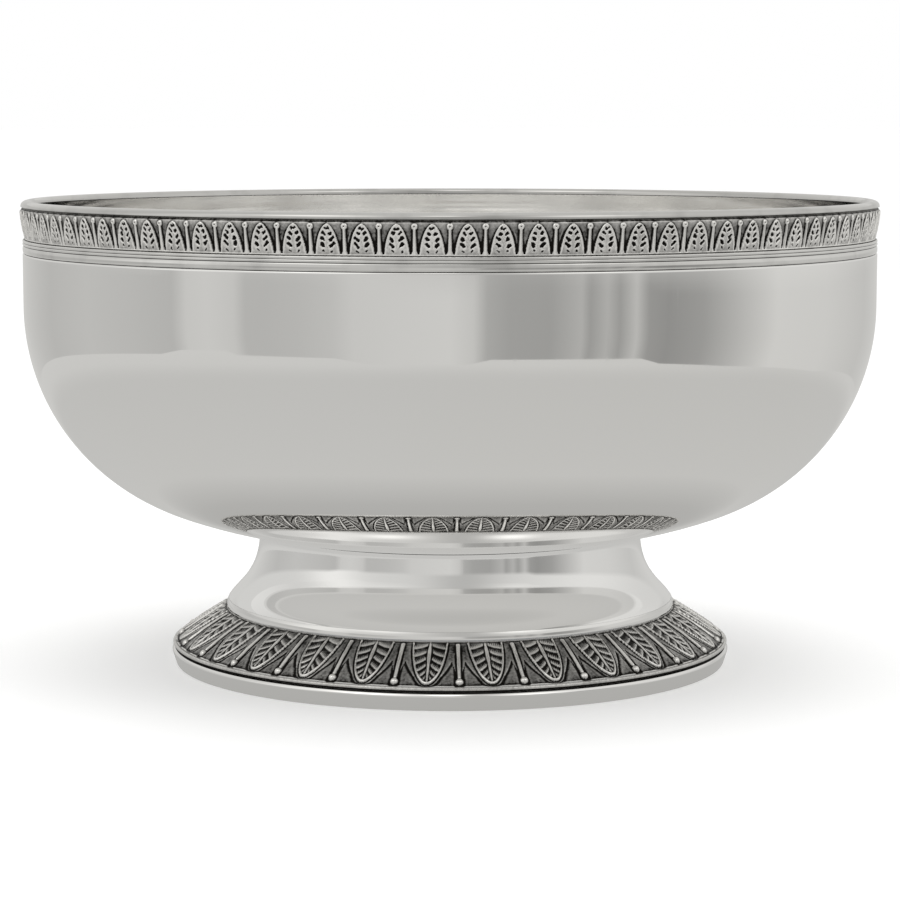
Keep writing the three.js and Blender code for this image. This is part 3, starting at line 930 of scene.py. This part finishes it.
# Brightness of the glowing disc that stands in for the table top in the silver, over the distance from the
# bowl's axis.
# It is darker within about 0.15 m of the axis: a painted shadow of the bowl.
TABLE_TONES = (
    (0, 0.44), (0.145, 0.45), (0.165, 0.61), (0.22, 0.6), (0.3, 0.59),
    (0.42, 0.58), (0.52, 0.58), (0.64, 0.64), (1.0, 0.66),
)


def table_glow():
    """A glowing disc, seen only in the silver, that stands in for the table top there, with a painted shadow
    of the bowl around its foot.
    """
    rings = np.linspace(0.05, 1.0, 20)
    piece = disc_mesh("studio_table", rings, 64, 0.0)
    piece.location.z = -0.00005
    tones = np.interp(np.append(np.repeat(rings, 64), 0), *zip(*TABLE_TONES))
    glowing(piece, tones)


# The screens around the table, in degrees round from the front and to the right, with their brightness.
CURTAIN_TONES = (
    (-180, 0.66), (-150, 0.66), (-128, 0.56), (-118, 0.52), (-98, 0.56), (-80, 0.53), (-68, 0.50),
    (-64, 0.62), (-58, 0.64), (-50, 0.60), (-47, 0.50), (-42, 0.50), (-34, 0.52), (-26, 0.56), (-21, 0.62),
    (-12, 0.64), (0, 0.66), (5, 0.60), (8, 0.43), (13, 0.38), (22, 0.37), (27, 0.44), (29, 0.47), (31, 0.36),
    (35, 0.47), (38, 0.36), (42, 0.54), (45, 0.34), (49, 0.31), (58, 0.36), (70, 0.54), (80, 0.68),
    (100, 0.66), (120, 0.60), (128, 0.58), (150, 0.66), (180, 0.66),
)
# How far the screens stand from the axis, over the same angle.
CURTAIN_RADII = (
    (-180, 0.85), (-100, 0.80), (-72, 0.80), (-66, 0.90), (-54, 0.90), (-50, 0.80), (-26, 0.76), (-18, 0.66),
    (4, 0.66), (9, 0.74), (44, 0.74), (48, 0.66), (66, 0.62), (100, 0.60), (180, 0.85),
)
CURTAIN_HEIGHT = 0.34
# Between these heights the screens' own tones fade into those of their tops.
CURTAIN_FADE = (0.155, 0.2)
# The screens' tops and the room above them are this bright, apart from three soft panels: a bright one
# on the left, a dark gap in front, and a faint one on the right. Each has an angle, spread and strength.
UPPER_TONE = 0.67
UPPER_PANELS = ((-70, 18, 0.22), (8, 20, -0.18), (85, 35, 0.12))


def upper_tones(turn):
    """Brightness of the screens' tops and of the room above them, in degrees round from the front."""
    panels = [strength * bump(turn - middle, spread) for middle, spread, strength in UPPER_PANELS]
    return UPPER_TONE + sum(panels)


def curtain():
    """Soft grey screens around the table, which only the silver sees."""
    turn = np.linspace(-180, 180, 721)[:-1]
    radius = np.interp(turn, *zip(*CURTAIN_RADII))
    angle = np.radians(turn - 90)
    ring = np.stack([radius * np.cos(angle), radius * np.sin(angle), np.zeros_like(angle)], axis=-1)
    heights = np.array((0.0005, 0.02, 0.05, 0.12, *CURTAIN_FADE, 0.26, CURTAIN_HEIGHT))
    points = np.concatenate([ring + (0, 0, z) for z in heights])
    piece = mesh_from("studio_curtain", points, sheet_quads(len(heights), len(turn), False, True))
    tone = np.interp(turn, *zip(*CURTAIN_TONES))
    upper = np.interp(heights, CURTAIN_FADE, (0, 1))[:, None]
    glowing(piece, (tone + (upper_tones(turn) - tone) * upper).ravel())


# Soft bright places in the dome over the table: degrees round from the front, height, spread, strength.
DOME_LIGHTS = ((-40, 48, 12, 1.0), (40, 44, 11, 0.8), (-2, 56, 5, 1.8))
# The dome evens out towards its back, over these angles from the front, and above these heights.
BACK_TONE, BACK_FADE = 0.8, (105, 150)
ZENITH_TONE, ZENITH_FADE = 0.8, (60, 80)
DOME_RADIUS = 3.0


def dome():
    """The light grey room over the table that the silver sees, with its soft bright places."""
    turn, rise = np.radians(np.arange(0, 360, 5) - 90), np.radians(np.linspace(0, 88, 30))
    rise, turn = np.meshgrid(rise, turn, indexing="ij")
    way = np.stack([np.cos(rise) * np.cos(turn), np.cos(rise) * np.sin(turn), np.sin(rise)], axis=-1)
    piece = mesh_from("studio_dome", DOME_RADIUS * way.reshape(-1, 3), sheet_quads(*turn.shape, False, True))
    from_front = (np.degrees(turn) + 270) % 360 - 180
    tone = upper_tones(from_front)
    tone += (BACK_TONE - tone) * np.interp(np.abs(from_front), BACK_FADE, (0, 1))
    tone += (ZENITH_TONE - tone) * np.interp(np.degrees(rise), ZENITH_FADE, (0, 1))
    for azimuth, height, spread, strength in DOME_LIGHTS:
        a, h = math.radians(azimuth - 90), math.radians(height)
        towards = np.array((math.cos(h) * math.cos(a), math.cos(h) * math.sin(a), math.sin(h)))
        away = np.degrees(np.arccos(np.clip(way @ towards, -1, 1)))
        tone += strength * bump(away, spread)
    glowing(piece, tone.ravel())


def world():
    """An even white room."""
    room = bpy.data.worlds.new("room")
    bpy.context.scene.world = room
    room.use_nodes = True
    room.node_tree.nodes["Background"].inputs["Color"].default_value = colour(1.0, 1.0, 1.0)
    room.node_tree.nodes["Background"].inputs["Strength"].default_value = 1.0


BOWL_MIDDLE = (0, 0, 0.12)


def softbox(name, place, size, power):
    """A square area light that faces the middle of the bowl."""
    lamp = bpy.data.lights.new(name, "AREA")
    lamp.shape, lamp.size, lamp.energy = "SQUARE", size, power
    holder = bpy.data.objects.new(name, lamp)
    bpy.context.scene.collection.objects.link(holder)
    holder.location = place
    holder.visible_glossy = False
    aim = np.array(BOWL_MIDDLE) - np.array(place)
    pitch = math.atan2(math.hypot(aim[0], aim[1]), -aim[2])
    holder.rotation_euler = (pitch, 0, math.atan2(aim[1], aim[0]) - math.pi / 2)


def lights():
    """Three large soft lights: in front to the right, to the left, and over the table."""
    softbox("light_right", (1.6, -1.2, 1.9), 1.2, 10)
    softbox("light_left", (-1.9, -0.6, 1.5), 1.2, 6)
    softbox("light_top", (0.0, 0.3, 2.4), 1.6, 10)


CAMERA_DISTANCE = 1.3739
CAMERA_HEIGHT = 0.2565
CAMERA_PITCH = 6.536
FOCAL_LENGTH, SENSOR_WIDTH = 116.7, 36.0


def camera():
    """Just above the rim, well back, as in a catalogue picture."""
    lens = bpy.data.cameras.new("camera")
    lens.lens, lens.sensor_width = FOCAL_LENGTH, SENSOR_WIDTH
    lens.clip_start, lens.clip_end = 0.05, 150
    holder = bpy.data.objects.new("camera", lens)
    bpy.context.scene.collection.objects.link(holder)
    holder.location = (0, -CAMERA_DISTANCE, CAMERA_HEIGHT)
    holder.rotation_euler = (math.radians(90 - CAMERA_PITCH), 0, 0)
    bpy.context.scene.camera = holder


def studio():
    """Everything around the bowl, and how the picture is made."""
    floor()
    table_glow()
    curtain()
    dome()
    world()
    lights()
    camera()
    scene = bpy.context.scene
    scene.view_settings.view_transform = "Standard"
    scene.cycles.glossy_bounces = 10


build_bowl()
studio()
